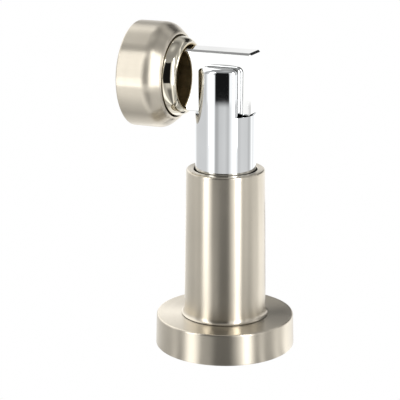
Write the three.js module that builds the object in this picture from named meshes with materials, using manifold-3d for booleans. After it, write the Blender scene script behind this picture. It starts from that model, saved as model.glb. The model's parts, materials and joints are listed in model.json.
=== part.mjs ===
// Magnetic floor door holder, shown holding the door's keeper.
// Millimetres. +Z is up. The origin is on the column's axis, at floor level.
// The head points along -X, towards the door.

import * as THREE from "three";
import * as BufferGeometryUtils from "three/addons/utils/BufferGeometryUtils.js";
import Module from "manifold-3d";

const wasm = await Module();
wasm.setup();

// ---------- driving dimensions ----------

const ROUND = 60; // facets round the large turned pieces
const MEDIUM = 36; // facets round the pieces inside them
const SMALL = 18; // facets round screws and holes

// foot
const FLANGE_R = 25.3; // radius at the floor
const FLANGE_TOP_R = 25.0;
const FLANGE_H = 11.5;
const FLANGE_RECESS_R = 21.0;
const FLANGE_RECESS_H = 7.5;
const FLOOR_PLATE_R = 20.7;
const FLOOR_PLATE_H = 3.2;
const FLOOR_HOLE_R = 2.3;
const FLOOR_HOLE_RING_R = 15.0; // radius of the ring of floor screw holes
const FLANGE_SCREW_Z = 1.9;
const SET_SCREW_R = 1.5;
const SET_HOLE_R = 1.65;

// column
const COLUMN_FOOT_R = 14.85;
const COLUMN_TOP_R = 14.12;
const COLUMN_TOP_Z = 65.8;
const COLUMN_FLARE_R = 15.95;
const COLUMN_FLARE_H = 2.0;
const COLUMN_BORE_R = 11.35;
const SPIGOT_R = 10.5; // the column's threaded tail in the foot
const SPIGOT_BOTTOM_Z = 3.6;
const WEB_BOTTOM_Z = 16.0; // wall across the column that the post screw goes through
const WEB_TOP_Z = 22.0;
const WEB_HOLE_R = 5.4;
const CAVITY_R = 8.0; // room for the post screw's head

// post
const POST_R = 10.9;
const POST_TOP_Z = 103.3;
const CHEEK_EDGE_R = 2.0; // rounding of every edge of the two cheeks beside the slot
const POST_SHOULDER_Z = 61.5;
const POST_TAIL_R = 9.6;
const POST_BOTTOM_Z = 24.0;
const SLOT_FLOOR_Z = 86.2;
const SLOT_HALF = 5.1;
const POST_BORE_R = 4.2;
const POST_LEDGE_Z = 77.0; // the arm screw's head bears against this ledge

// arm
const BAR_HALF = 4.8;
const BAR_BOTTOM_Z = 86.5;
const BAR_TOP_Z = 108.6;
const BAR_END_X = 11.15;
const BAR_HEAD_X = -19.2;
const BAR_EDGE = 0.7;
const BAR_SPIGOT_R = 11.1; // rounded end of the bar, inside the bell
const BAR_SPIGOT_X = -13.1;

// head
const HEAD_Z = 98.0;
const BELL_R = 14.3;
const BELL_DOME_X = -18.3; // the bell's side ends and its rounded nose begins
const BELL_MOUTH_X = -13.9;
const BELL_MOUTH_R = 11.35;
const BELL_RIM_X = -27.6;
const POLE_CUP_R = 12.1;
const MAGNET_R = 10.6;

// keeper
const KEEPER_R = 18.95;
const KEEPER_BACK_X = -34.2;
const KEEPER_SHOULDER_X = -24.2; // the side ends and the shoulder begins
const KEEPER_SHOULDER_R = 5.0; // rounding between side and bevel
const KEEPER_BEVEL = 40; // the bevel's slope, in degrees
const KEEPER_LIP_R = 2.4; // rounding between bevel and mouth
const KEEPER_MOUTH_R = 14.8;
const KEEPER_CHAMBER_R = 16.2;
const KEEPER_SEAT_R = 16.9;
const KEEPER_PLATE_R = 16.6;
const KEEPER_SCREW_X = -32.6;
const STRIKE_R = 12.2;

// ---------- materials ----------

function metal(color, roughness) {
  return new THREE.MeshStandardMaterial({ color, roughness, metalness: 1.0 });
}

function soft(color, roughness) {
  return new THREE.MeshStandardMaterial({ color, roughness, metalness: 0.0 });
}

const satinNickel = metal(0xb9b1a2, 0.32);
const chrome = metal(0xd9dcdd, 0.06);
const polishedNickel = metal(0xd8d2c4, 0.09);
const zincSteel = metal(0xa8acb0, 0.38);
const springSteel = metal(0x77797c, 0.35);
const blackScrew = metal(0x2c2c2e, 0.45);
const magnetPlating = metal(0xc4c6c9, 0.22);
const blackNylon = soft(0x161617, 0.55);
const slipRing = soft(0xe6e2d6, 0.5);
const rubber = soft(0x1d1d1f, 0.85);

// ---------- shape helpers ----------

function toSolid(geometry) {
  const bare = geometry.clone();
  bare.deleteAttribute("normal");
  bare.deleteAttribute("uv");
  const merged = BufferGeometryUtils.mergeVertices(bare, 1e-5);
  const triangles = Array.from(merged.index.array);
  if (signedVolume(merged.attributes.position, triangles) < 0) {
    triangles.reverse();
  }
  return new wasm.Manifold(
    new wasm.Mesh({
      numProp: 3,
      vertProperties: new Float32Array(merged.attributes.position.array),
      triVerts: new Uint32Array(triangles),
    }),
  );
}

function signedVolume(position, triangles) {
  const a = new THREE.Vector3();
  const b = new THREE.Vector3();
  const c = new THREE.Vector3();
  let sum = 0;
  for (let i = 0; i < triangles.length; i += 3) {
    a.fromBufferAttribute(position, triangles[i]);
    b.fromBufferAttribute(position, triangles[i + 1]);
    c.fromBufferAttribute(position, triangles[i + 2]);
    sum += a.dot(b.cross(c));
  }
  return sum / 6;
}

// Turned round +Z. The outline is a list of [radius, height] that closes on itself.
function turned(outline, facets) {
  const points = outline.map(([r, h]) => new THREE.Vector2(r, h));
  const closed = [...points, points[0].clone()];
  const geometry = new THREE.LatheGeometry(closed, facets);
  geometry.rotateX(Math.PI / 2);
  return toSolid(dropFlatTriangles(geometry));
}

// Turned round the head's axis. The outline is a list of [radius, x].
function turnedHead(outline, facets) {
  return turned(outline, facets).rotate([0, 90, 0]).translate([0, 0, HEAD_Z]);
}

// An outline that touches the axis leaves triangles with no area there.
function dropFlatTriangles(geometry) {
  const position = geometry.attributes.position;
  const kept = [];
  const a = new THREE.Vector3();
  const b = new THREE.Vector3();
  const c = new THREE.Vector3();
  const old = geometry.index.array;
  for (let i = 0; i < old.length; i += 3) {
    a.fromBufferAttribute(position, old[i]);
    b.fromBufferAttribute(position, old[i + 1]);
    c.fromBufferAttribute(position, old[i + 2]);
    const area = b.clone().sub(a).cross(c.clone().sub(a)).length();
    if (area > 1e-9) {
      kept.push(old[i], old[i + 1], old[i + 2]);
    }
  }
  geometry.setIndex(kept);
  return geometry;
}

// Upright rod or hole with radius r, from height z0 to z1.
function rod(r, z0, z1, facets = SMALL) {
  const geometry = new THREE.CylinderGeometry(r, r, z1 - z0, facets);
  geometry.rotateX(Math.PI / 2);
  geometry.translate(0, 0, (z0 + z1) / 2);
  return toSolid(geometry);
}

// Rod or hole along X on the head's axis.
function headRod(r, x0, x1, facets = SMALL) {
  return rod(r, x0, x1, facets).rotate([0, 90, 0]).translate([0, 0, HEAD_Z]);
}

function block(x0, x1, y0, y1, z0, z1) {
  const geometry = new THREE.BoxGeometry(x1 - x0, y1 - y0, z1 - z0);
  geometry.translate((x0 + x1) / 2, (y0 + y1) / 2, (z0 + z1) / 2);
  return toSolid(geometry);
}

// Lays an extruded shape along X: its x, y, z become y, z, x.
const alongX = new THREE.Matrix4().makeBasis(
  new THREE.Vector3(0, 1, 0),
  new THREE.Vector3(0, 0, 1),
  new THREE.Vector3(1, 0, 0),
);

// Points on a circle's arc, from angle a0 to a1 in degrees round [r, h].
function arc(r, h, radius, a0, a1, steps) {
  const points = [];
  for (let i = 0; i <= steps; i += 1) {
    const angle = THREE.MathUtils.degToRad(a0 + ((a1 - a0) * i) / steps);
    points.push([r + radius * Math.cos(angle), h + radius * Math.sin(angle)]);
  }
  return points;
}

// Flat ring round +Z.
function ring(inner, outer, z0, z1, facets = MEDIUM) {
  return turned([[inner, z0], [outer, z0], [outer, z1], [inner, z1]], facets);
}

// Flat ring round the head's axis.
function headRing(inner, outer, x0, x1, facets = MEDIUM) {
  return turnedHead([[inner, x0], [outer, x0], [outer, x1], [inner, x1]], facets);
}

// Grub screw lying along +Z, its hexagon socket at the top end.
function grubScrew(length) {
  const body = turned(
    [[0, 0], [0.8, 0], [SET_SCREW_R, 0.6], [SET_SCREW_R, length], [0, length]],
    SMALL,
  );
  return body.subtract(rod(0.86, length - 1.4, length + 1, 6));
}

function piece(name, solid, material) {
  const mesh = solid.getMesh();
  const geometry = new THREE.BufferGeometry();
  geometry.setAttribute("position", new THREE.BufferAttribute(mesh.vertProperties, 3));
  geometry.setIndex(new THREE.BufferAttribute(mesh.triVerts, 1));
  geometry.computeVertexNormals();
  const node = new THREE.Mesh(geometry, material);
  node.name = name;
  return node;
}

// ---------- foot ----------

function baseFlange() {
  const body = turned(
    [
      [FLANGE_RECESS_R, 0],
      [FLANGE_R - 0.3, 0],
      [FLANGE_R, 0.3],
      ...arc(FLANGE_TOP_R - 0.6, FLANGE_H - 0.6, 0.6, 0, 90, 3),
      [SPIGOT_R + 0.3, FLANGE_H],
      [SPIGOT_R + 0.3, FLANGE_RECESS_H],
      [FLANGE_RECESS_R, FLANGE_RECESS_H],
    ],
    ROUND,
  );
  const screwHole = rod(SET_HOLE_R, 19, 27).rotate([-90, 0, 0]).translate([0, 0, FLANGE_SCREW_Z]);
  return body.subtract(screwHole);
}

function floorPlate() {
  let plate = turned(
    [[0, 0], [FLOOR_PLATE_R, 0], [FLOOR_PLATE_R, FLOOR_PLATE_H], [0, FLOOR_PLATE_H]],
    MEDIUM,
  );
  const sinkDepth = 2.2;
  for (const degrees of [30, 150, 270]) {
    const hole = turned(
      [
        [0, -1],
        [FLOOR_HOLE_R, -1],
        [FLOOR_HOLE_R, FLOOR_PLATE_H - sinkDepth],
        [FLOOR_HOLE_R + sinkDepth + 0.5, FLOOR_PLATE_H + 0.5],
        [0, FLOOR_PLATE_H + 0.5],
      ],
      SMALL,
    );
    plate = plate.subtract(hole.translate([FLOOR_HOLE_RING_R, 0, 0]).rotate([0, 0, degrees]));
  }
  return plate;
}

function flangeSetScrew() {
  return grubScrew(4.0).rotate([-90, 0, 0]).translate([0, 20.9, FLANGE_SCREW_Z]);
}

function columnNut() {
  let nut = ring(SPIGOT_R + 0.25, 14.4, 3.9, 7.2);
  for (const degrees of [0, 90, 180, 270]) {
    const notch = block(12.8, 15, -1.5, 1.5, 3.5, 8).rotate([0, 0, degrees]);
    nut = nut.subtract(notch);
  }
  return nut;
}

// ---------- column ----------

function columnSleeve() {
  const flareTop = FLANGE_H + COLUMN_FLARE_H;
  const flare = [];
  const steps = 5;
  for (let i = 0; i <= steps; i += 1) {
    const angle = (Math.PI / 2) * (i / steps);
    flare.push([
      COLUMN_FLARE_R - (COLUMN_FLARE_R - COLUMN_FOOT_R) * Math.sin(angle),
      FLANGE_H + 0.25 + (COLUMN_FLARE_H - 0.25) * (1 - Math.cos(angle)),
    ]);
  }
  return turned(
    [
      [CAVITY_R, SPIGOT_BOTTOM_Z],
      [SPIGOT_R - 0.5, SPIGOT_BOTTOM_Z],
      [SPIGOT_R, SPIGOT_BOTTOM_Z + 0.5],
      [SPIGOT_R, FLANGE_H + 0.25],
      ...flare,
      [COLUMN_FOOT_R - 0.02, flareTop + 1],
      ...arc(COLUMN_TOP_R - 0.7, COLUMN_TOP_Z - 0.7, 0.7, 0, 90, 3),
      [COLUMN_BORE_R + 0.3, COLUMN_TOP_Z],
      [COLUMN_BORE_R, COLUMN_TOP_Z - 0.3],
      [COLUMN_BORE_R, WEB_TOP_Z],
      [WEB_HOLE_R, WEB_TOP_Z],
      [WEB_HOLE_R, WEB_BOTTOM_Z],
      [CAVITY_R, WEB_BOTTOM_Z],
    ],
    ROUND,
  );
}

function upperBush() {
  return ring(POST_TAIL_R + 0.1, COLUMN_BORE_R - 0.1, 50, POST_SHOULDER_Z - 0.25);
}

function lowerBush() {
  return ring(POST_TAIL_R + 0.1, COLUMN_BORE_R - 0.1, 26, 34);
}

function thrustWasher() {
  return ring(WEB_HOLE_R + 0.1, POST_TAIL_R - 0.2, WEB_TOP_Z + 0.2, POST_BOTTOM_Z - 0.25);
}

// ---------- post ----------

// The turned post carries two cheeks, and the arm sits in the slot between them.
function postBody() {
  const threadTop = 42;
  const stem = turned(
    [
      [5.2, POST_BOTTOM_Z],
      [POST_TAIL_R - 0.5, POST_BOTTOM_Z],
      [POST_TAIL_R, POST_BOTTOM_Z + 0.5],
      [POST_TAIL_R, POST_SHOULDER_Z],
      [POST_R, POST_SHOULDER_Z],
      [POST_R, SLOT_FLOOR_Z],
      [2.75, SLOT_FLOOR_Z],
      [2.75, POST_LEDGE_Z],
      [POST_BORE_R, POST_LEDGE_Z],
      [POST_BORE_R, threadTop],
      [5.2, threadTop],
    ],
    ROUND,
  );
  const crown = turned(
    [
      [0, SLOT_FLOOR_Z - 1],
      [POST_R, SLOT_FLOOR_Z - 1],
      ...arc(POST_R - CHEEK_EDGE_R, POST_TOP_Z - CHEEK_EDGE_R, CHEEK_EDGE_R, 0, 90, 5),
      [0, POST_TOP_Z],
    ],
    ROUND,
  );
  const cheeks = cheekPrism(1).add(cheekPrism(-1));
  return stem.add(crown.intersect(cheeks).subtract(slotFlare()));
}

// Upright prism over one cheek's plan: the slot wall and its two rounded corners.
function cheekPrism(side) {
  const cornerY = SLOT_HALF + CHEEK_EDGE_R;
  const cornerX = Math.sqrt((POST_R - CHEEK_EDGE_R) ** 2 - cornerY ** 2);
  const outward = THREE.MathUtils.radToDeg(Math.atan2(cornerY, cornerX));
  const corner = arc(cornerX, cornerY, CHEEK_EDGE_R, -90, outward, 6);
  const beyond = 1.2;
  const [tipX, tipY] = corner[corner.length - 1];
  const half = [...corner, [tipX * beyond, tipY * beyond], [tipX * beyond, POST_R * beyond]];
  const plan = [...half, ...half.map(([x, y]) => [-x, y]).reverse()];
  const shape = new THREE.Shape(plan.map(([x, y]) => new THREE.Vector2(x, side * y)));
  const depth = POST_TOP_Z - SLOT_FLOOR_Z + 2;
  const geometry = new THREE.ExtrudeGeometry(shape, { depth, bevelEnabled: false });
  geometry.translate(0, 0, SLOT_FLOOR_Z - 0.8);
  return toSolid(geometry);
}

// What the cheeks' rounded inner top edges leave open above the slot.
function slotFlare() {
  const startZ = POST_TOP_Z - CHEEK_EDGE_R;
  const wide = SLOT_HALF + CHEEK_EDGE_R;
  const edge = arc(wide, startZ, CHEEK_EDGE_R, 180, 90, 5);
  const half = [...edge, [wide, POST_TOP_Z + 2]];
  const face = [...half, ...half.map(([y, z]) => [-y, z]).reverse()];
  const shape = new THREE.Shape(face.map(([y, z]) => new THREE.Vector2(y, z)));
  const geometry = new THREE.ExtrudeGeometry(shape, { depth: 2.4 * POST_R, bevelEnabled: false });
  geometry.applyMatrix4(alongX);
  geometry.translate(-1.2 * POST_R, 0, 0);
  return toSolid(geometry);
}

function postScrew() {
  const headBottom = 7.4;
  const headTop = 13.0;
  const screw = turned(
    [
      [0, headBottom],
      [6.9, headBottom],
      [7.5, headBottom + 0.6],
      [7.5, headTop],
      [5.0, headTop],
      [5.0, 37.4],
      [4.4, 38],
      [0, 38],
    ],
    MEDIUM,
  );
  return screw.subtract(rod(4.6, 5, 10.8, 6));
}

function postWasher() {
  return ring(5.3, 7.6, 13.2, 14.4);
}

function waveWasher() {
  const geometry = new THREE.LatheGeometry(
    [[5.6, 14.95], [7.5, 14.95], [7.5, 15.45], [5.6, 15.45], [5.6, 14.95]].map(
      ([r, h]) => new THREE.Vector2(r, h),
    ),
    MEDIUM,
  );
  geometry.rotateX(Math.PI / 2);
  const position = geometry.attributes.position;
  for (let i = 0; i < position.count; i += 1) {
    const angle = Math.atan2(position.getY(i), position.getX(i));
    position.setZ(i, position.getZ(i) + 0.3 * Math.sin(3 * angle));
  }
  return toSolid(geometry);
}

// ---------- arm ----------

function chamferedBar() {
  const c = BAR_EDGE;
  const bottom = BAR_BOTTOM_Z;
  const top = BAR_TOP_Z;
  const face = new THREE.Shape([
    new THREE.Vector2(-BAR_HALF + c, bottom),
    new THREE.Vector2(BAR_HALF - c, bottom),
    new THREE.Vector2(BAR_HALF, bottom + c),
    new THREE.Vector2(BAR_HALF, top - c),
    new THREE.Vector2(BAR_HALF - c, top),
    new THREE.Vector2(-BAR_HALF + c, top),
    new THREE.Vector2(-BAR_HALF, top - c),
    new THREE.Vector2(-BAR_HALF, bottom + c),
  ]);
  const length = BAR_END_X - BAR_HEAD_X;
  const geometry = new THREE.ExtrudeGeometry(face, { depth: length, bevelEnabled: false });
  geometry.applyMatrix4(alongX);
  geometry.translate(BAR_HEAD_X, 0, 0);
  return toSolid(geometry);
}

// Wedge that breaks one edge of the bar's free end; the edge runs along Z or Y.
function endWedge(along, side) {
  const c = BAR_EDGE * Math.SQRT2;
  const wedge = block(-c / 2, c / 2, -c / 2, c / 2, -20, 20).rotate([0, 0, 45]);
  if (along === "z") {
    const middle = (BAR_BOTTOM_Z + BAR_TOP_Z) / 2;
    return wedge.translate([BAR_END_X, side * BAR_HALF, middle]);
  }
  const edge = side > 0 ? BAR_TOP_Z : BAR_BOTTOM_Z;
  return wedge.rotate([90, 0, 0]).translate([BAR_END_X, 0, edge]);
}

function armBar() {
  let bar = chamferedBar();
  for (const along of ["z", "y"]) {
    for (const side of [-1, 1]) {
      bar = bar.subtract(endWedge(along, side));
    }
  }
  const outsideBell = block(BAR_SPIGOT_X, 30, -20, 20, 60, 130);
  const insideBell = headRod(BAR_SPIGOT_R, BAR_HEAD_X - 5, BAR_SPIGOT_X + 0.5, ROUND);
  bar = bar.intersect(outsideBell.add(insideBell));
  const screwHole = rod(2.65, BAR_BOTTOM_Z - 1, 99.5);
  const headHole = headRod(2.15, BAR_HEAD_X - 1, -9);
  return bar.subtract(screwHole).subtract(headHole);
}

function armScrew() {
  const headBottom = 72.4;
  const headTop = 76.0;
  const screw = turned(
    [
      [0, headBottom],
      [3.5, headBottom],
      [3.8, headBottom + 0.3],
      [3.8, headTop],
      [2.5, headTop],
      [2.5, 98.3],
      [2.0, 98.8],
      [0, 98.8],
    ],
    SMALL,
  );
  return screw.subtract(rod(2.3, 70, 74.8, 6));
}

function armSpringWasher() {
  return turned([[2.7, 76.45], [3.8, 76.2], [3.8, 76.5], [2.7, 76.75]], SMALL);
}

// ---------- head ----------

function magnetBell() {
  const recessX = -22.3;
  const seatX = -19.6;
  return turnedHead(
    [
      [POLE_CUP_R + 0.25, BELL_RIM_X],
      [BELL_R - 0.4, BELL_RIM_X],
      [BELL_R, BELL_RIM_X + 0.4],
      ...bellNose(),
      [BELL_MOUTH_R, BELL_MOUTH_X - 0.15],
      [BELL_MOUTH_R, seatX],
      [2.4, seatX],
      [2.4, recessX],
      [POLE_CUP_R + 0.25, recessX],
    ],
    ROUND,
  );
}

// The bell's rounded nose: a quarter of an ellipse from its side to its mouth.
function bellNose() {
  const depth = BELL_MOUTH_X - BELL_DOME_X;
  const rise = BELL_R - BELL_MOUTH_R - 0.15;
  const points = [];
  const steps = 7;
  for (let i = 0; i <= steps; i += 1) {
    const angle = (Math.PI / 2) * (i / steps);
    points.push([BELL_R - rise * (1 - Math.cos(angle)), BELL_DOME_X + depth * Math.sin(angle)]);
  }
  return points;
}

function poleCup() {
  return turnedHead(
    [
      [2.4, -22.55],
      [2.4, -24.05],
      [MAGNET_R + 0.3, -24.05],
      [MAGNET_R + 0.3, -27.4],
      [POLE_CUP_R, -27.4],
      [POLE_CUP_R, -22.85],
      [POLE_CUP_R - 0.3, -22.55],
    ],
    MEDIUM,
  );
}

function magnetDisc() {
  return turnedHead(
    [
      [2.4, -24.3],
      [2.4, -25.0],
      [4.4, -27.2],
      [MAGNET_R, -27.2],
      [MAGNET_R, -24.3],
    ],
    MEDIUM,
  );
}

function headScrew() {
  const screw = turnedHead(
    [[0, -27.0], [4.0, -27.0], [2.0, -24.8], [2.0, -10.5], [1.5, -10.0], [0, -10.0]],
    SMALL,
  );
  return screw.subtract(headRod(1.45, -28, -25.4, 6));
}

// ---------- keeper ----------

function keeperCup() {
  const cup = turnedHead(
    [
      [KEEPER_SEAT_R, KEEPER_BACK_X],
      [KEEPER_R - 0.5, KEEPER_BACK_X],
      [KEEPER_R, KEEPER_BACK_X + 0.5],
      ...shoulderOutline(),
      [KEEPER_MOUTH_R, -20.6],
      [KEEPER_CHAMBER_R, -21.4],
      [KEEPER_CHAMBER_R, -30.5],
      [KEEPER_SEAT_R, -30.5],
    ],
    ROUND,
  );
  const screwHole = rod(SET_HOLE_R, HEAD_Z - KEEPER_R - 2, HEAD_Z - KEEPER_SEAT_R + 2);
  return cup.subtract(screwHole.translate([KEEPER_SCREW_X, 0, 0]));
}

// The cup's shoulder: rounded side edge, sloping bevel, rounded lip at the mouth.
function shoulderOutline() {
  const slope = THREE.MathUtils.degToRad(KEEPER_BEVEL);
  const upper = arc(
    KEEPER_R - KEEPER_SHOULDER_R,
    KEEPER_SHOULDER_X,
    KEEPER_SHOULDER_R,
    0,
    KEEPER_BEVEL,
    4,
  );
  const [bevelR, bevelX] = upper[upper.length - 1];
  const lipTopR = KEEPER_MOUTH_R + 1.3;
  const lipTopX = bevelX + (bevelR - lipTopR) / Math.tan(slope);
  const centreR = lipTopR - KEEPER_LIP_R * Math.cos(slope);
  const centreX = lipTopX - KEEPER_LIP_R * Math.sin(slope);
  const mouthSlope = THREE.MathUtils.radToDeg(
    Math.acos((KEEPER_MOUTH_R - centreR) / KEEPER_LIP_R),
  );
  const lip = arc(centreR, centreX, KEEPER_LIP_R, KEEPER_BEVEL, mouthSlope, 3);
  return [...upper, ...lip];
}

function keeperPlate() {
  let plate = turnedHead(
    [
      [0, KEEPER_BACK_X],
      [KEEPER_PLATE_R, KEEPER_BACK_X],
      [KEEPER_PLATE_R, -30.9],
      [2.15, -30.9],
      [2.15, -33.1],
      [0, -33.1],
    ],
    MEDIUM,
  );
  for (const side of [-1, 1]) {
    const hole = turnedHead(
      [[0, -36], [2.2, -36], [2.2, -33.0], [4.8, -30.4], [0, -30.4]],
      SMALL,
    );
    plate = plate.subtract(hole.translate([0, side * 10, 0]));
  }
  return plate;
}

function strikeDisc() {
  return turnedHead(
    [
      [2.3, -29.9],
      [STRIKE_R - 0.3, -29.9],
      [STRIKE_R, -29.6],
      [STRIKE_R, -28.0],
      [STRIKE_R - 0.3, -27.7],
      [4.3, -27.7],
      [2.3, -29.7],
    ],
    MEDIUM,
  );
}

function strikeCushion() {
  return headRing(2.4, STRIKE_R - 0.7, -30.7, -30.1);
}

function strikeScrew() {
  const screw = turnedHead(
    [[0, -32.9], [1.5, -32.9], [2.0, -32.4], [2.0, -29.8], [3.9, -27.9], [0, -27.9]],
    SMALL,
  );
  return screw.subtract(headRod(1.25, -29.3, -27, 6));
}

function keeperBuffer() {
  return headRing(STRIKE_R + 0.6, KEEPER_CHAMBER_R - 0.3, -30.5, -28.0);
}

function keeperSetScrew() {
  const outer = HEAD_Z - KEEPER_R + 0.3;
  const screw = grubScrew(1.8).rotate([180, 0, 0]);
  return screw.translate([KEEPER_SCREW_X, 0, outer + 1.8]);
}

// ---------- assembly ----------

const holder = new THREE.Group();
holder.name = "floor_door_holder";
holder.add(
  piece("base_flange", baseFlange(), satinNickel),
  piece("floor_plate", floorPlate(), zincSteel),
  piece("flange_set_screw", flangeSetScrew(), blackScrew),
  piece("column_nut", columnNut(), zincSteel),
  piece("column_sleeve", columnSleeve(), satinNickel),
  piece("upper_bush", upperBush(), blackNylon),
  piece("lower_bush", lowerBush(), blackNylon),
  piece("thrust_washer", thrustWasher(), slipRing),
  piece("post", postBody(), chrome),
  piece("post_screw", postScrew(), blackScrew),
  piece("post_washer", postWasher(), zincSteel),
  piece("wave_washer", waveWasher(), springSteel),
  piece("arm_bar", armBar(), chrome),
  piece("arm_screw", armScrew(), blackScrew),
  piece("arm_spring_washer", armSpringWasher(), springSteel),
  piece("magnet_bell", magnetBell(), polishedNickel),
  piece("pole_cup", poleCup(), zincSteel),
  piece("magnet_disc", magnetDisc(), magnetPlating),
  piece("head_screw", headScrew(), blackScrew),
  piece("keeper_cup", keeperCup(), satinNickel),
  piece("keeper_plate", keeperPlate(), zincSteel),
  piece("strike_disc", strikeDisc(), zincSteel),
  piece("strike_cushion", strikeCushion(), rubber),
  piece("strike_screw", strikeScrew(), blackScrew),
  piece("keeper_buffer", keeperBuffer(), rubber),
  piece("keeper_set_screw", keeperSetScrew(), blackScrew),
);

export default holder;
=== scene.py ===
"""Looks of the magnetic floor door holder: turned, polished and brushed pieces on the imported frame."""

import json
import math

import bmesh
import bpy
import numpy as np
from mathutils import Matrix, Vector


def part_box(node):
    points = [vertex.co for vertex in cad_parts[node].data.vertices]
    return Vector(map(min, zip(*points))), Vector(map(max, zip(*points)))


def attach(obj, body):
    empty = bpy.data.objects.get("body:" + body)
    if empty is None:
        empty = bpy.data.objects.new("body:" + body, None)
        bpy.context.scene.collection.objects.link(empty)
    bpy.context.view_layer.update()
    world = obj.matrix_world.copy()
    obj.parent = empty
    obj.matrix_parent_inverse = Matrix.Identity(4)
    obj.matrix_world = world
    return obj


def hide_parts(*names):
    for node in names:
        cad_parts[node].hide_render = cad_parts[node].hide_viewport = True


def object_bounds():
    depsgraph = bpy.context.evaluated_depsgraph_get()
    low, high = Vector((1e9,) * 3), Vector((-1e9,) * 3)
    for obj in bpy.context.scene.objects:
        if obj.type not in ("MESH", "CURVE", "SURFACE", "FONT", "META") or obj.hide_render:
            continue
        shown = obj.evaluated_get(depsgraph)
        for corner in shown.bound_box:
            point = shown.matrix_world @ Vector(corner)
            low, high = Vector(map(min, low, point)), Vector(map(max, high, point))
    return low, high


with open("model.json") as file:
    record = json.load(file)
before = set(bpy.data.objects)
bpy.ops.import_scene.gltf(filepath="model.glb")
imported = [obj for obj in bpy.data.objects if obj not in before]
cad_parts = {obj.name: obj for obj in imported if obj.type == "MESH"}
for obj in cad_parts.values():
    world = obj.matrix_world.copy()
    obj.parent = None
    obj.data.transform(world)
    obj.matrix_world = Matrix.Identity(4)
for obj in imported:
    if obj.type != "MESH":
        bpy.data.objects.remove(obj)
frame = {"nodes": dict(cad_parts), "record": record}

CAD_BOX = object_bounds()
MM = 0.001
NODES = frame["nodes"]
BODY_OF = {n: b for b, ns in frame["record"]["behaviour"]["bodies"].items() for n in ns}

# ---------- places and sizes ----------

HEIGHT = CAD_BOX[1].z
FOOT_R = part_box("base_flange")[1].x

# The head: cup, bell, pole cup and magnet share one level axis.
KEEPER_LO, KEEPER_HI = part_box("keeper_cup")
HEAD_Z = (KEEPER_LO.z + KEEPER_HI.z) / 2
BELL_MOUTH_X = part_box("magnet_bell")[1].x
PLATE_MARGIN = 0.2 * MM  # how far the bell's full plating reaches in past the pole cup's radius
BARE_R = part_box("pole_cup")[1].z - HEAD_Z - PLATE_MARGIN

# The upper bush fills the bore between the column and the post's tail.
BUSH_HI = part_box("upper_bush")[1]
BUSH_GAP = 0.1 * MM  # between bush and column
BUSH_WALL = 1.65 * MM  # with the post's running gap
SHOULDER_GAP = 0.25 * MM  # between the bush's top and the post's shoulder
COLUMN_BORE_R = BUSH_HI.x + BUSH_GAP
POST_TAIL_R = BUSH_HI.x - BUSH_WALL
SHOULDER_Z = BUSH_HI.z + SHOULDER_GAP

# The post, with the slot that the bar lies in.
POST_LO, POST_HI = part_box("post")
POST_R = POST_HI.x
BAR_LO, BAR_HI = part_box("arm_bar")
SLOT_GAP = 0.3 * MM  # beside the bar and under it
SLOT_FLOOR_Z = BAR_LO.z - SLOT_GAP
SLOT_HALF = BAR_HI.y + SLOT_GAP
CHEEK_EDGE_R = 2.0 * MM
TAIL_EDGE = 0.5 * MM
SHOULDER_EDGE = 0.2 * MM
NECK_R = 2.75 * MM  # hole that the arm screw passes
LEDGE_Z = 77 * MM  # the arm screw's head bears against this ledge
POST_BORE_R = 4.2 * MM
THREAD_TOP_Z = 42 * MM
THREAD_R = 5.2 * MM

SET_SCREW_HOLE_R = 1.65 * MM
FOOT_WALL_CUT = 9 * MM  # long enough to go through the foot's wall
CUP_WALL_CUT = 6 * MM  # long enough to go through the cup's wall


def add_to_scene(name, data):
    """A new object in the scene, made of this mesh, camera or light."""
    obj = bpy.data.objects.new(name, data)
    bpy.context.scene.collection.objects.link(obj)
    return obj


# ---------- camera ----------

CAMERA_AZIMUTH = math.radians(23.5)
CAMERA_ELEVATION = math.radians(15.42)
CAMERA_DISTANCE = 4.614 * HEIGHT
LOOK_Z = 0.4615 * HEIGHT
LOOK_ASIDE = 0.0635  # how far left of the post's axis it looks, in widths of the picture
LENS = 135.0
SENSOR = 36.0

# Level directions of the set; the studio's surroundings are laid out along them too.
TOWARDS_CAMERA = Vector((math.sin(CAMERA_AZIMUTH), -math.cos(CAMERA_AZIMUTH), 0))
TO_THE_RIGHT = Vector((math.cos(CAMERA_AZIMUTH), math.sin(CAMERA_AZIMUTH), 0))


def make_camera():
    """The camera, a little above the head and at the side of the bar."""
    back = Vector(
        (
            math.sin(CAMERA_AZIMUTH) * math.cos(CAMERA_ELEVATION),
            -math.cos(CAMERA_AZIMUTH) * math.cos(CAMERA_ELEVATION),
            math.sin(CAMERA_ELEVATION),
        )
    )
    up = back.cross(TO_THE_RIGHT)
    data = bpy.data.cameras.new("camera")
    data.lens = LENS
    data.sensor_width = SENSOR
    data.clip_start = 0.01
    data.clip_end = 100
    camera = add_to_scene("camera", data)
    aside = LOOK_ASIDE * SENSOR / LENS * CAMERA_DISTANCE
    place = Vector((0, 0, LOOK_Z)) + back * CAMERA_DISTANCE - TO_THE_RIGHT * aside
    axes = Matrix((TO_THE_RIGHT, up, back)).transposed().to_4x4()
    camera.matrix_world = Matrix.Translation(place) @ axes
    bpy.context.scene.camera = camera


make_camera()

# ---------- node building ----------


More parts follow.
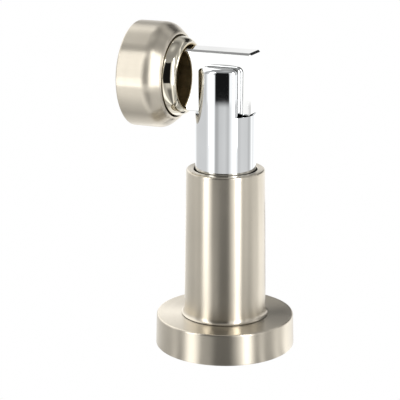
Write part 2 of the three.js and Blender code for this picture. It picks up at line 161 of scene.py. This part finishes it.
class Graph:
    """A small helper that adds nodes to a tree and joins them."""

    def __init__(self, tree):
        self.tree = tree
        tree.nodes.clear()

    def add(self, kind, inputs=None, **settings):
        """A new node with its settings, and with its inputs joined or set."""
        node = self.tree.nodes.new(kind)
        for key, value in settings.items():
            setattr(node, key, value)
        for key, value in (inputs or {}).items():
            self.feed(node, key, value)
        return node

    def feed(self, node, key, value):
        """Joins an input to another node's output, or sets it to a plain value."""
        socket = node.inputs[key]
        if isinstance(value, bpy.types.NodeSocket):
            self.tree.links.new(value, socket)
        else:
            socket.default_value = value

    def math(self, operation, a, b=0.0):
        """What a maths node makes of a and b."""
        return self.add("ShaderNodeMath", {0: a, 1: b}, operation=operation).outputs[0]

    def dot(self, vector, direction):
        """How far the vector reaches in a direction."""
        node = self.add("ShaderNodeVectorMath", {0: vector, 1: direction}, operation="DOT_PRODUCT")
        return node.outputs["Value"]

    def ramp(self, factor, stops):
        """Colour or brightness that runs from stop to stop, each one (place, value)."""
        node = self.add("ShaderNodeValToRGB", {0: factor})
        band = node.color_ramp
        while len(band.elements) > 1:
            band.elements.remove(band.elements[-1])
        for index, (place, value) in enumerate(stops):
            stop = band.elements[0] if index == 0 else band.elements.new(place)
            stop.position = place
            colour = value if isinstance(value, tuple) else (value, value, value)
            stop.color = (*colour, 1)
        return node.outputs["Color"]

    def noise(self, vector, scale, detail=2.0, roughness=0.5):
        """Noise from 0 to 1."""
        inputs = {"Vector": vector, "Scale": scale, "Detail": detail, "Roughness": roughness}
        return self.add("ShaderNodeTexNoise", inputs).outputs["Fac"]

    def spread(self, value, low, high):
        """Takes 0 to 1 over to low to high."""
        inputs = {"Value": value, 1: 0.0, 2: 1.0, 3: low, 4: high}
        return self.add("ShaderNodeMapRange", inputs).outputs[0]

    def step(self, value, edge, width):
        """0 below the edge and 1 above it, with a slope of this width between."""
        inputs = {"Value": value, 1: edge - width / 2, 2: edge + width / 2, 3: 0.0, 4: 1.0}
        return self.add("ShaderNodeMapRange", inputs).outputs[0]

    def mix(self, factor, a, b):
        """Colour a where the factor is 0 and colour b where it is 1."""
        return self.add("ShaderNodeMix", {0: factor, 6: a, 7: b}, data_type="RGBA").outputs[2]

    def place(self):
        """The point on the object, in metres."""
        return self.add("ShaderNodeTexCoord").outputs["Object"]

    def principled(self, inputs):
        """The material's surface as a Principled shader."""
        shader = self.add("ShaderNodeBsdfPrincipled", inputs)
        self.add("ShaderNodeOutputMaterial", {"Surface": shader.outputs[0]})

    def emission(self, colour, strength=1.0):
        """The material's surface as plain light."""
        shader = self.add("ShaderNodeEmission", {"Color": colour, "Strength": strength})
        self.add("ShaderNodeOutputMaterial", {"Surface": shader.outputs[0]})


# ---------- materials ----------

# Noise scales, in waves per metre.
TURNED_LINES = 5200
TURNED_BANDS = 420
CLOUDS = 60
SWELLS = 90
HAZE = 900
PLASTIC_CLOUDS = 150
RADIANS_TO_TEXTURE = 0.0004  # slow change along a turned line

NICKEL = (0.68, 0.625, 0.525)
BELL_NICKEL = (0.76, 0.71, 0.59)
BRASS = (0.4, 0.31, 0.17)
CHROME = (0.80, 0.815, 0.825)
MIRROR = (0.87, 0.87, 0.86)
ZINC = (0.56, 0.58, 0.61)
# Painted shade: the dark colour painted inside the column's bore and deep in the bell's bore, where
# shade falls.
PAINTED_BORE_SHADE = (0.025, 0.02, 0.014, 1)
BRASS_DEPTH = 5.0 * MM  # the bell's bore turns from brass to painted shade about this far inside it


def new_material(name):
    """A new material, and the graph that builds its nodes."""
    material = bpy.data.materials.new(name)
    material.use_nodes = True
    return material, Graph(material.node_tree)


def tinted(g, colour, amount, factor):
    """The colour, a little lighter and darker over the surface."""
    dark = tuple(c * (1 - amount) for c in colour)
    light = tuple(min(1, c * (1 + amount)) for c in colour)
    return g.ramp(factor, [(0.25, dark), (0.75, light)])


def around_axis(g, axis):
    """Coordinates round the turning axis (radius, place along it, slow angle), and plain ones."""
    place = g.place()
    parts = g.add("ShaderNodeSeparateXYZ", {0: place})
    if axis == "Z":
        a, b, along = parts.outputs[0], parts.outputs[1], parts.outputs[2]
    else:
        a, along = parts.outputs[1], parts.outputs[0]
        b = g.math("SUBTRACT", parts.outputs[2], HEAD_Z)
    squares = g.math("ADD", g.math("MULTIPLY", a, a), g.math("MULTIPLY", b, b))
    radius = g.math("SQRT", squares)
    angle = g.math("MULTIPLY", g.math("ARCTAN2", a, b), RADIANS_TO_TEXTURE)
    return g.add("ShaderNodeCombineXYZ", {0: radius, 1: along, 2: angle}).outputs[0], place


def turned_metal(name, colour, axis, roughness, anisotropy, line_depth, variation, bore=0):
    """Metal with fine lines turned round the axis; within the bore's radius it is painted dark, as
    shade.
    """
    material, g = new_material(name)
    lines, place = around_axis(g, axis)
    fine = g.noise(lines, TURNED_LINES, 3.0, 0.65)
    broad = g.noise(lines, TURNED_BANDS)
    cloud = g.noise(place, CLOUDS)
    mixed = g.math("ADD", g.math("MULTIPLY", fine, 0.6), g.math("MULTIPLY", broad, 0.4))
    rough = g.spread(mixed, roughness - 0.07, roughness + 0.07)
    bump = g.add("ShaderNodeBump", {"Height": fine, "Strength": 0.35, "Distance": line_depth})
    tint = tinted(g, colour, variation, cloud)
    if bore:
        radius = g.add("ShaderNodeSeparateXYZ", {0: lines}).outputs[0]
        # painted shade inside the bore
        tint = g.mix(g.step(radius, bore, 0.1 * MM), PAINTED_BORE_SHADE, tint)
    tangent = g.add("ShaderNodeTangent", direction_type="RADIAL", axis=axis)
    g.principled(
        {
            "Base Color": tint,
            "Metallic": 1.0,
            "Roughness": rough,
            "Anisotropic": anisotropy,
            "Anisotropic Rotation": 0.25,
            "Tangent": tangent.outputs[0],
            "Normal": bump.outputs[0],
        }
    )
    return material


def plated_metal(name, colour, roughness, wave, spread):
    """Plated or blackened metal, a little uneven in its surface and its gloss."""
    material, g = new_material(name)
    place = g.place()
    swell = g.noise(place, SWELLS, 1.0)
    haze = g.noise(place, HAZE, 3.0, 0.6)
    bump = g.add("ShaderNodeBump", {"Height": swell, "Strength": 0.2, "Distance": wave})
    g.principled(
        {
            "Base Color": tinted(g, colour, 0.02, swell),
            "Metallic": 1.0,
            "Roughness": g.spread(haze, max(0.01, roughness - spread), roughness + spread),
            "Normal": bump.outputs[0],
        }
    )
    return material


def bell_metal(name, plate, brass):
    """Bright plate outside; in the bore it is thin, and dull brass shows, with painted shade that
    darkens it further in.
    """
    material, g = new_material(name)
    lines, place = around_axis(g, "X")
    parts = g.add("ShaderNodeSeparateXYZ", {0: lines})
    plated = g.step(parts.outputs[0], BARE_R, 0.5 * MM)
    near_mouth = g.step(parts.outputs[1], BELL_MOUTH_X - BRASS_DEPTH, BRASS_DEPTH)
    swell = g.noise(place, SWELLS, 1.0)
    haze = g.noise(place, HAZE, 3.0, 0.6)
    bright = g.spread(haze, 0.03, 0.09)
    dull = g.spread(haze, 0.3, 0.5)
    bump = g.add("ShaderNodeBump", {"Height": swell, "Strength": 0.2, "Distance": 0.01 * MM})
    # the bore's brass is painted darker further in, as painted shade
    bore = g.mix(near_mouth, PAINTED_BORE_SHADE, tinted(g, brass, 0.2, haze))
    g.principled(
        {
            "Base Color": g.mix(plated, bore, tinted(g, plate, 0.02, swell)),
            "Metallic": 1.0,
            "Roughness": g.add("ShaderNodeMix", {0: plated, 2: dull, 3: bright}).outputs[0],
            "Normal": bump.outputs[0],
        }
    )
    return material


def moulded(name, colour, roughness, grain, depth):
    """Plastic or rubber with a fine moulded grain."""
    material, g = new_material(name)
    place = g.place()
    speckle = g.noise(place, grain, 3.0, 0.6)
    cloud = g.noise(place, PLASTIC_CLOUDS)
    bump = g.add("ShaderNodeBump", {"Height": speckle, "Strength": 0.4, "Distance": depth})
    g.principled(
        {
            "Base Color": tinted(g, colour, 0.15, cloud),
            "Roughness": g.spread(speckle, roughness - 0.1, roughness + 0.1),
            "Normal": bump.outputs[0],
        }
    )
    return material


def satin_nickel(name, axis, bore=0):
    """Nickel brushed round the axis."""
    return turned_metal(name, NICKEL, axis, 0.3, 0.9, 0.004 * MM, 0.05, bore)


def zinc_steel(name, axis):
    """Steel turned round the axis and plated with zinc."""
    return turned_metal(name, ZINC, axis, 0.36, 0.4, 0.006 * MM, 0.08)


# Each material's name, the function that makes it and what that function is told.
MATERIALS = {
    name: make(name, *told)
    for name, make, *told in (
        # inside the column's bore the nickel is painted dark, as painted shade in the gap round the post
        ("satin_nickel_upright", satin_nickel, "Z", COLUMN_BORE_R + 0.1 * MM),
        ("satin_nickel_head", satin_nickel, "X"),
        ("chrome", plated_metal, CHROME, 0.03, 0.01 * MM, 0.02),
        ("mirror_chrome", plated_metal, MIRROR, 0.03, 0.005 * MM, 0.02),
        ("polished_nickel", bell_metal, BELL_NICKEL, BRASS),
        ("zinc_steel", zinc_steel, "Z"),
        ("zinc_steel_head", zinc_steel, "X"),
        ("spring_steel", plated_metal, (0.2, 0.2, 0.21), 0.3, 0.02 * MM, 0.08),
        ("black_screw", plated_metal, (0.045, 0.045, 0.05), 0.36, 0.02 * MM, 0.1),
        ("magnet_plating", plated_metal, (0.62, 0.62, 0.63), 0.16, 0.02 * MM, 0.05),
        ("black_nylon", moulded, (0.012, 0.012, 0.013), 0.5, 2500, 0.02 * MM),
        ("slip_ring", moulded, (0.78, 0.75, 0.67), 0.45, 2500, 0.01 * MM),
        ("rubber", moulded, (0.016, 0.016, 0.017), 0.75, 3500, 0.03 * MM),
    )
}

# ---------- shapes ----------

SAME_POINT = 0.002 * MM
SAME_RING = 0.015 * MM
FULL_RING = 0.45  # share of all bearings that a turned ring has at least; a hole's edge has fewer


def turned_places(mesh, axis):
    """Radius and place along the axis of every vertex, and its bearing round the axis."""
    co = np.array([v.co[:] for v in mesh.vertices])
    if axis == "Z":
        across, along = co[:, :2], co[:, 2]
    else:
        across, along = co[:, 1:] - (0, HEAD_Z), co[:, 0]
    radius = np.hypot(across[:, 0], across[:, 1])
    turns = np.round(np.arctan2(across[:, 0], across[:, 1]), 2)
    return np.stack([radius, along], 1), turns


def gather_rings(places):
    """The different places among these, and for each vertex the number of its own."""
    rings, ring_of = [], np.zeros(len(places), int)
    for index, place in enumerate(places):
        for number, ring in enumerate(rings):
            if np.abs(ring - place).max() < SAME_RING:
                ring_of[index] = number
                break
        else:
            ring_of[index] = len(rings)
            rings.append(place)
    return rings, ring_of


def joined_rings(mesh, kept, ring_of):
    """For every kept ring, the kept rings that an edge of the mesh joins it to."""
    beside = {n: set() for n in kept}
    for edge in mesh.edges:
        a, b = (ring_of[v] for v in edge.vertices)
        if a != b and a in kept and b in kept:
            beside[a].add(b)
            beside[b].add(a)
    return beside


def outline_of(node, axis):
    """The closed outline [radius, height] that the CAD node was turned from, read off its rings."""
    mesh = NODES[node].data
    places, turns = turned_places(mesh, axis)
    rings, ring_of = gather_rings(places)
    count = [len(set(turns[ring_of == n])) for n in range(len(rings))]
    kept = {n for n, c in enumerate(count) if c > FULL_RING * max(count)}
    beside = joined_rings(mesh, kept, ring_of)
    path = [min(kept, key=lambda n: (rings[n][1], rings[n][0]))]
    while onward := [n for n in beside[path[-1]] if n not in path]:
        path.append(min(onward, key=lambda n: len(beside[n])))
    if len(path) != len(kept) or path[0] not in beside[path[-1]]:
        raise ValueError(f"{node} isn't a plain turned ring")
    points = np.array([rings[n] for n in path])
    r, h = points[:, 0], points[:, 1]
    area = np.sum(r * np.roll(h, -1) - np.roll(r, -1) * h)
    return points if area > 0 else points[::-1]


EASING_ROUNDS = 3
STRAIGHT = 1  # degrees of bend that count as none
CORNER = 34  # degrees of bend from which on a point is a corner and not part of a curve
CURVE_CUT = 0.25  # share of a side that is cut off beside a curve's point
CORNER_CUT = 0.3  # share of a side that a broken corner may take
ROUND_MIDDLE = 0.29  # puts the middle of a broken right angle on its quarter circle
# Steps round a turned piece and round a drilled hole.
BIG_TURN = 256
HEAD_TURN = 128
SMALL_TURN = 96
HOLE_TURN = 48
FLAT = math.radians(0.8)  # faces that meet at less than this are one flat
SHARP = math.radians(32)  # edges that bend by more than this are broken
SHADED_SHARP = math.radians(40)  # edges that bend by more than this are shaded as edges


def eased(points, edge):
    """The outline with its curves refined and its sharp corners broken by about edge metres."""
    for _ in range(EASING_ROUNDS):
        made = []
        for i, here in enumerate(points):
            before = points[i - 1] - here
            after = points[(i + 1) % len(points)] - here
            a, b = np.linalg.norm(before), np.linalg.norm(after)
            bend = math.degrees(math.acos(np.clip(-(before @ after) / (a * b), -1, 1)))
            if bend < STRAIGHT:
                made.append(here)
                continue
            if bend > CORNER:
                cut = min(edge, CORNER_CUT * a, CORNER_CUT * b)
            else:
                cut = min(CURVE_CUT * a, CURVE_CUT * b)
            made.append(here + before / a * cut)
            if bend > CORNER:
                made.append(here + (before / a + after / b) * cut * ROUND_MIDDLE)
            made.append(here + after / b * cut)
        points = np.array(made)
    return points


def revolve(points, axis, segments):
    """A closed ring mesh of the outline turned round the axis."""
    angles = np.linspace(0, 2 * np.pi, segments, endpoint=False)
    vertices, faces = [], []
    for radius, height in points:
        for angle in angles:
            u, v = radius * math.cos(angle), radius * math.sin(angle)
            if axis == "Z":
                vertices.append((u, v, height))
            else:
                vertices.append((height, u, HEAD_Z + v))
    rings = len(points)
    for i in range(rings):
        k = (i + 1) % rings
        for j in range(segments):
            m = (j + 1) % segments
            faces.append((i * segments + j, i * segments + m, k * segments + m, k * segments + j))
    return vertices, faces


def new_piece(name, vertices, faces):
    """A mesh object of these points and faces."""
    mesh = bpy.data.meshes.new(name)
    mesh.from_pydata([tuple(v) for v in vertices], [], faces)
    return add_to_scene(name, mesh)


def outward(obj):
    """Turns all faces outwards."""
    form = bmesh.new()
    form.from_mesh(obj.data)
    bmesh.ops.recalc_face_normals(form, faces=form.faces)
    form.to_mesh(obj.data)
    form.free()


def smooth(obj):
    """Smooth shading that leaves flats flat and keeps true edges."""
    obj.data.shade_smooth()
    obj.data.set_sharp_from_angle(angle=SHADED_SHARP)
    weighted = obj.modifiers.new("weighted", "WEIGHTED_NORMAL")
    weighted.keep_sharp = True
    bake(obj)


def bake(obj):
    """Applies the piece's modifiers."""
    evaluated = obj.evaluated_get(bpy.context.evaluated_depsgraph_get())
    mesh = bpy.data.meshes.new_from_object(evaluated)
    obj.modifiers.clear()
    obj.data = mesh


def dress(obj, node, material):
    """Puts a finished piece on its body, in place of its CAD node."""
    obj.data.materials.clear()
    obj.data.materials.append(MATERIALS[material])
    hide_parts(node)
    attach(obj, BODY_OF[node])


def drill(obj, centre, direction, radius, length):
    """Cuts a round hole; centre is the hole's middle."""
    cutter_mesh = bpy.data.meshes.new("cutter")
    form = bmesh.new()
    bmesh.ops.create_cone(
        form, cap_ends=True, segments=HOLE_TURN, radius1=radius, radius2=radius, depth=length
    )
    form.to_mesh(cutter_mesh)
    form.free()
    cutter = add_to_scene("cutter", cutter_mesh)
    turned = Vector(direction).to_track_quat("Z", "Y").to_matrix().to_4x4()
    cutter.matrix_world = Matrix.Translation(centre) @ turned
    cut = obj.modifiers.new("hole", "BOOLEAN")
    cut.object = cutter
    cut.operation = "DIFFERENCE"
    cut.solver = "EXACT"
    bpy.context.view_layer.update()
    bake(obj)
    bpy.data.objects.remove(cutter)


def turned_piece(node, axis, material, edge, segments, hole=None):
    """A turned CAD node made again with finer steps, eased edges and, where told, a drilled hole."""
    points = eased(outline_of(node, axis), edge * MM)
    obj = new_piece(node + "_turned", *revolve(points, axis, segments))
    outward(obj)
    if hole:
        drill(obj, *hole)
    smooth(obj)
    dress(obj, node, material)


def refined_piece(node, material, edge=0.08):
    """The CAD node's own shape with every sharp edge broken by edge millimetres."""
    form = bmesh.new()
    form.from_mesh(NODES[node].data)
    bmesh.ops.remove_doubles(form, verts=form.verts, dist=SAME_POINT)
    bmesh.ops.dissolve_limit(form, angle_limit=FLAT, verts=form.verts, edges=form.edges)
    sharp = [e for e in form.edges if e.is_manifold and e.calc_face_angle(0) > SHARP]
    bmesh.ops.bevel(
        form,
        geom=sharp,
        offset=edge * MM,
        segments=2,
        profile=0.5,
        affect="EDGES",
        clamp_overlap=True,
    )
    mesh = bpy.data.meshes.new(node + "_fine")
    form.to_mesh(mesh)
    form.free()
    obj = add_to_scene(node + "_fine", mesh)
    smooth(obj)
    dress(obj, node, material)


# ---------- the post ----------

CHEEK_LEVELS = (0, 0.4 * MM, 4 * MM, 10 * MM)  # points of the upright walls, over the slot's floor
EDGE_STEPS = 16
EDGE_TURN = math.radians(88)  # short of a right angle, so that the corners keep a radius
CORNER_STEPS = 10
ARC_STEPS = 72


def cheek_levels():
    """Heights up a cheek and how far its outline has drawn in there, to its rounded top."""
    levels = [(SLOT_FLOOR_Z + rise, 0.0) for rise in CHEEK_LEVELS]
    for i in range(EDGE_STEPS + 1):
        angle = EDGE_TURN * i / EDGE_STEPS
        drop = CHEEK_EDGE_R * (1 - math.sin(angle))
        levels.append((POST_HI.z - drop, CHEEK_EDGE_R * (1 - math.cos(angle))))
    return levels


def cheek_section(inset, side):
    """A cheek's outline: slot wall, two rounded corners and the post's round side."""
    corner = CHEEK_EDGE_R - inset
    middle_y = SLOT_HALF + CHEEK_EDGE_R
    middle_x = math.sqrt((POST_R - CHEEK_EDGE_R) ** 2 - middle_y**2)
    end = math.atan2(middle_y, middle_x)
    turn = end + math.pi / 2
    points = []
    for i in range(CORNER_STEPS + 1):
        angle = -math.pi / 2 + turn * i / CORNER_STEPS
        points.append((middle_x + corner * math.cos(angle), middle_y + corner * math.sin(angle)))
    for i in range(1, ARC_STEPS):
        angle = end + (math.pi - 2 * end) * i / ARC_STEPS
        radius = POST_R - inset
        points.append((radius * math.cos(angle), radius * math.sin(angle)))
    for i in range(CORNER_STEPS + 1):
        angle = math.pi - end + turn * i / CORNER_STEPS
        points.append((-middle_x + corner * math.cos(angle), middle_y + corner * math.sin(angle)))
    return [(x, side * y) for x, y in points]


def add_cheek(vertices, faces, side):
    """Adds one cheek as a closed body: its walls level by level, its underside and its top."""
    levels = cheek_levels()
    first = len(vertices)
    for height, inset in levels:
        section = cheek_section(inset, side)
        vertices.extend((x, y, height) for x, y in section)
    size = len(section)
    for i in range(len(levels) - 1):
        for j in range(size):
            k = (j + 1) % size
            a, b = first + i * size, first + (i + 1) * size
            faces.append((a + j, a + k, b + k, b + j))
    faces.append([first + j for j in range(size)])
    last = first + (len(levels) - 1) * size
    faces.append([last + j for j in range(size)])


def make_post():
    """Chrome post: a turned lower part and two cheeks that stand on it."""
    lower = np.array(
        [
            (THREAD_R, POST_LO.z),
            (POST_TAIL_R - TAIL_EDGE, POST_LO.z),
            (POST_TAIL_R, POST_LO.z + TAIL_EDGE),
            (POST_TAIL_R, SHOULDER_Z),
            (POST_R - SHOULDER_EDGE, SHOULDER_Z),
            (POST_R, SHOULDER_Z + SHOULDER_EDGE),
            (POST_R, SLOT_FLOOR_Z),
            (NECK_R, SLOT_FLOOR_Z),
            (NECK_R, LEDGE_Z),
            (POST_BORE_R, LEDGE_Z),
            (POST_BORE_R, THREAD_TOP_Z),
            (THREAD_R, THREAD_TOP_Z),
        ]
    )
    vertices, faces = revolve(lower, "Z", BIG_TURN)
    for side in (-1, 1):
        add_cheek(vertices, faces, side)
    obj = new_piece("post_slotted", vertices, faces)
    outward(obj)
    smooth(obj)
    dress(obj, "post", "chrome")


# ---------- the object ----------


def hole_for(screw, direction, length):
    """A set screw's hole, as drill takes it."""
    lo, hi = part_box(screw)
    return (lo + hi) / 2, direction, SET_SCREW_HOLE_R, length


foot_hole = hole_for("flange_set_screw", (0, 1, 0), FOOT_WALL_CUT)
cup_hole = hole_for("keeper_set_screw", (0, 0, 1), CUP_WALL_CUT)
turned_piece("base_flange", "Z", "satin_nickel_upright", 0.35, BIG_TURN, foot_hole)
turned_piece("column_sleeve", "Z", "satin_nickel_upright", 0.2, BIG_TURN)
turned_piece("keeper_cup", "X", "satin_nickel_head", 0.2, BIG_TURN, cup_hole)
turned_piece("magnet_bell", "X", "polished_nickel", 0.1, BIG_TURN)
make_post()
refined_piece("arm_bar", "mirror_chrome", 0.07)

for ring_node, ring_material in {
    "upper_bush": "black_nylon",
    "lower_bush": "black_nylon",
    "thrust_washer": "slip_ring",
    "post_washer": "zinc_steel",
    "arm_spring_washer": "spring_steel",
}.items():
    turned_piece(ring_node, "Z", ring_material, 0.1, SMALL_TURN)

for ring_node, ring_material in {
    "pole_cup": "zinc_steel_head",
    "magnet_disc": "magnet_plating",
    "strike_disc": "zinc_steel_head",
    "strike_cushion": "rubber",
    "keeper_buffer": "rubber",
}.items():
    turned_piece(ring_node, "X", ring_material, 0.15, HEAD_TURN)

for plain_node, plain_material in {
    "floor_plate": "zinc_steel",
    "column_nut": "zinc_steel",
    "keeper_plate": "zinc_steel_head",
    "wave_washer": "spring_steel",
    "post_screw": "black_screw",
    "arm_screw": "black_screw",
    "head_screw": "black_screw",
    "strike_screw": "black_screw",
    "flange_set_screw": "black_screw",
    "keeper_set_screw": "black_screw",
}.items():
    refined_piece(plain_node, plain_material)

# ---------- studio ----------

# Brightness is 1 where a surface is as bright as the white behind the object.
WHITE = (1, 1, 1, 1)
# Where the surroundings change, in degrees of height or bearing, and how softly.
CEILING_FROM = 45
CEILING_FADE = 6
FAR_SIDE_FROM = 125
FAR_SIDE_FADE = 30
PATCH_FADE = 2
# A slow unevenness of the light, in waves per degree and as a factor on it.
RIPPLE_SCALE = 0.22
RIPPLE_LOW = 0.72
RIPPLE_HIGH = 1.28

CARD_REACH = 0.036  # to either side of its middle
CARD_H = 0.036
CARD_BEHIND = 0.06  # from the object's axis
CARD_SPLIT = 0.006  # right of its middle, where light turns to dark
CARD_FADE = 0.01
CARD_LIGHT = (1.5, 1.5, 1.5, 1)
CARD_DARK = (0.05, 0.05, 0.05, 1)

SHEET_REACH = 3  # to each side
PAPER_GRAIN = 40  # waves per metre
TABLE_Z = -0.02 * MM
# Distances from the object's axis at which the table's brightness changes, and how softly.
TABLE_NEAR_REACH = 0.2
TABLE_NEAR_FADE = 0.08
TABLE_MIDDLE_REACH = 0.45
TABLE_MIDDLE_FADE = 0.02

STRIP_H = 0.48
STRIP_DISTANCE = 0.32
STRIP_LIFT = 0.002  # of its lower edge over the floor


def bearing(g, vector):
    """Degrees round the set: 0 is its front, more is to the right, less to the left."""
    front = g.dot(vector, TOWARDS_CAMERA)
    side = g.dot(vector, TO_THE_RIGHT)
    return g.math("MULTIPLY", g.math("ARCTAN2", side, front), 180 / math.pi)


def by_degrees(g, degrees, stops, low=-180, high=180):
    """Brightness from a list of (degrees, brightness)."""
    place = g.add("ShaderNodeMapRange", {"Value": degrees, 1: low, 2: high, 3: 0.0, 4: 1.0})
    scaled = [((d - low) / (high - low), value) for d, value in stops]
    return g.ramp(place.outputs[0], scaled)


def between(g, value, low, high):
    """1 from low to high, 0 outside."""
    below_high = g.math("SUBTRACT", 1, g.step(value, high, PATCH_FADE))
    return g.math("MULTIPLY", g.step(value, low, PATCH_FADE), below_high)


# Brightness of the walls by bearing, in degrees.
SIDES = [
    (-180, 1.2),
    (-145, 1.1),
    (-122, 0.5),
    (-104, 0.6),
    (-94, 1.0),
    (-82, 0.4),
    (-70, 0.8),
    (-40, 0.5),
    (-20, 0.3),
    (10, 0.3),
    (13, 0.9),
    (22, 1.3),
    (44, 1.0),
    (54, 0.3),
    (63, 1.1),
    (72, 0.5),
    (86, 0.5),
    (98, 1.2),
    (110, 0.9),
    (126, 2.0),
    (140, 1.3),
    (155, 1.2),
    (180, 1.2),
]
# Brightness of the ceiling by height, in degrees.
OVERHEAD = [(0, 0.7), (45, 0.4), (62, 0.32), (76, 0.38), (86, 0.7), (90, 0.8)]
# Brightness of the far side by height, in degrees.
BEHIND = [
    (0, 1.0),
    (12, 1.0),
    (20, 0.62),
    (34, 0.45),
    (44, 0.6),
    (54, 0.42),
    (64, 0.22),
    (76, 0.4),
    (90, 0.8),
]
# Patches of the surroundings: left, right, low and high in degrees, and brightness.
PATCHES = [
    (-41, 10, -90, 44, 0.01),
    (100, 165, 10, 40, 0.35),
    (130, 160, 17, 34, 0.03),
    (-170, -95, 10, 60, 1.5),
]


def make_world():
    """White to the lens. In reflections: lit walls, a ceiling and dark gaps between them."""
    world = bpy.data.worlds.new("studio")
    bpy.context.scene.world = world
    world.use_nodes = True
    g = Graph(world.node_tree)
    direction = g.add("ShaderNodeTexCoord").outputs["Generated"]
    height = g.add("ShaderNodeSeparateXYZ", {0: direction}).outputs[2]
    elevation = g.math("MULTIPLY", g.math("ARCSINE", height), 180 / math.pi)
    degrees = bearing(g, direction)
    sides = by_degrees(g, degrees, SIDES)
    overhead = by_degrees(g, elevation, OVERHEAD, 0, 90)
    behind = by_degrees(g, elevation, BEHIND, 0, 90)
    turned_away = g.math("ABSOLUTE", degrees)
    light = g.mix(g.step(elevation, CEILING_FROM, CEILING_FADE), sides, overhead)
    light = g.mix(g.step(turned_away, FAR_SIDE_FROM, FAR_SIDE_FADE), light, behind)
    for left, right, low, high, value in PATCHES:
        across = between(g, degrees, left, right)
        patch = g.math("MULTIPLY", across, between(g, elevation, low, high))
        light = g.mix(patch, light, (value, value, value, 1))
    lens = g.add("ShaderNodeLightPath").outputs["Is Camera Ray"]
    seen = g.mix(lens, light, WHITE)
    angles = g.add("ShaderNodeCombineXYZ", {0: degrees, 1: elevation}).outputs[0]
    ripple = g.spread(g.noise(angles, RIPPLE_SCALE), RIPPLE_LOW, RIPPLE_HIGH)
    gain = g.math("MAXIMUM", ripple, lens)
    background = g.add("ShaderNodeBackground", {"Color": seen, "Strength": gain})
    g.add("ShaderNodeOutputWorld", {"Surface": background.outputs[0]})


# Brightness of the table by bearing, in degrees: near the foot, further out and far away.
TABLE_NEAR = [
    (-180, 1.0),
    (-142, 0.65),
    (-120, 0.5),
    (-106, 0.5),
    (-94, 0.75),
    (-82, 0.4),
    (-74, 0.7),
    (-62, 1.6),
    (-51, 1.5),
    (-42, 0.6),
    (-28, 0.55),
    (-16, 0.22),
    (8, 0.18),
    (16, 0.35),
    (25, 0.9),
    (35, 1.5),
    (44, 0.9),
    (54, 0.35),
    (63, 0.85),
    (72, 0.45),
    (84, 0.5),
    (97, 1.0),
    (110, 0.75),
    (125, 1.5),
    (150, 1.3),
    (180, 1.0),
]
TABLE_MIDDLE = [
    (-180, 1.25),
    (-155, 1.1),
    (-134, 0.74),
    (-78, 0.74),
    (-69, 1.0),
    (-61, 1.5),
    (-46, 1.4),
    (-39, 0.5),
    (-32, 0.5),
    (-24, 0.68),
    (-5, 0.75),
    (8, 0.6),
    (18, 1.05),
    (25, 1.4),
    (38, 1.3),
    (47, 0.66),
    (60, 0.77),
    (85, 0.74),
    (96, 0.57),
    (103, 0.8),
    (111, 1.3),
    (121, 1.0),
    (130, 1.25),
    (155, 1.25),
    (180, 1.25),
]
TABLE_FAR = [
    (-180, 1.1),
    (-100, 0.7),
    (-79, 0.68),
    (-74, 1.15),
    (-43, 1.2),
    (-40, 0.01),
    (10, 0.01),
    (13, 1.2),
    (180, 1.2),
]


def flat_sheet(name, height, material):
    """A level square sheet that lies along the set's own directions."""
    corners = []
    for side, depth in ((-1, 1), (1, 1), (1, -1), (-1, -1)):
        place = (TO_THE_RIGHT * side + TOWARDS_CAMERA * depth) * SHEET_REACH
        corners.append((place.x, place.y, height))
    obj = new_piece(name, corners, [(0, 1, 2, 3)])
    obj.data.materials.append(material)
    return obj


def make_floor():
    """The white floor that the lens sees; no reflection shows it."""
    material, g = new_material("floor_white")
    g.emission(WHITE, g.spread(g.noise(g.place(), PAPER_GRAIN), 0.998, 1.0))
    floor = flat_sheet("floor", 0, material)
    floor.visible_glossy = False


def make_table():
    """The table top that the metal mirrors; the lens doesn't see it."""
    material, g = new_material("table_top")
    place = g.place()
    degrees = bearing(g, place)
    reach = g.add("ShaderNodeVectorMath", {0: place}, operation="LENGTH").outputs["Value"]
    middle = by_degrees(g, degrees, TABLE_MIDDLE)
    far = by_degrees(g, degrees, TABLE_FAR)
    # Towards the foot the stripes draw in to the front, so that round metal shows them upright.
    closeness = g.math("DIVIDE", FOOT_R / 2, g.math("MAXIMUM", reach, FOOT_R))
    drawn_in = g.math("DIVIDE", degrees, g.math("SUBTRACT", 1, closeness))
    near = by_degrees(g, drawn_in, TABLE_NEAR)
    light = g.mix(g.step(reach, TABLE_NEAR_REACH, TABLE_NEAR_FADE), near, middle)
    light = g.mix(g.step(reach, TABLE_MIDDLE_REACH, TABLE_MIDDLE_FADE), light, far)
    g.emission(light)
    table = flat_sheet("table_top", TABLE_Z, material)
    table.visible_camera = False


def strip_light(name, degrees, width, radiance):
    """A standing strip softbox, turned to the object."""
    data = bpy.data.lights.new(name, "AREA")
    data.shape = "RECTANGLE"
    data.size = width
    data.size_y = STRIP_H
    data.energy = radiance * math.pi * width * STRIP_H
    lamp = add_to_scene(name, data)
    angle = math.radians(degrees)
    out = TOWARDS_CAMERA * math.cos(angle) + TO_THE_RIGHT * math.sin(angle)
    lamp.location = out * STRIP_DISTANCE + Vector((0, 0, STRIP_H / 2 + STRIP_LIFT))
    lamp.rotation_mode = "QUATERNION"
    lamp.rotation_quaternion = out.to_track_quat("Z", "Y")
    lamp.visible_camera = False


def make_card():
    """A low card behind the foot, light on the left and dark on the right."""
    corners = []
    for side, height in ((-1, 0), (1, 0), (1, CARD_H), (-1, CARD_H)):
        place = TO_THE_RIGHT * (side * CARD_REACH) - TOWARDS_CAMERA * CARD_BEHIND
        corners.append((place.x, place.y, height))
    card = new_piece("card", corners, [(0, 1, 2, 3)])
    material, g = new_material("card")
    across = g.dot(g.place(), TO_THE_RIGHT)
    g.emission(g.mix(g.step(across, CARD_SPLIT, CARD_FADE), CARD_LIGHT, CARD_DARK))
    card.data.materials.append(material)
    card.visible_camera = False


make_world()
make_floor()
make_table()
make_card()
strip_light("strip_left", -57, 0.09, 2.7)
strip_light("strip_right", 35, 0.08, 4.5)
bpy.context.scene.view_settings.view_transform = "Standard"
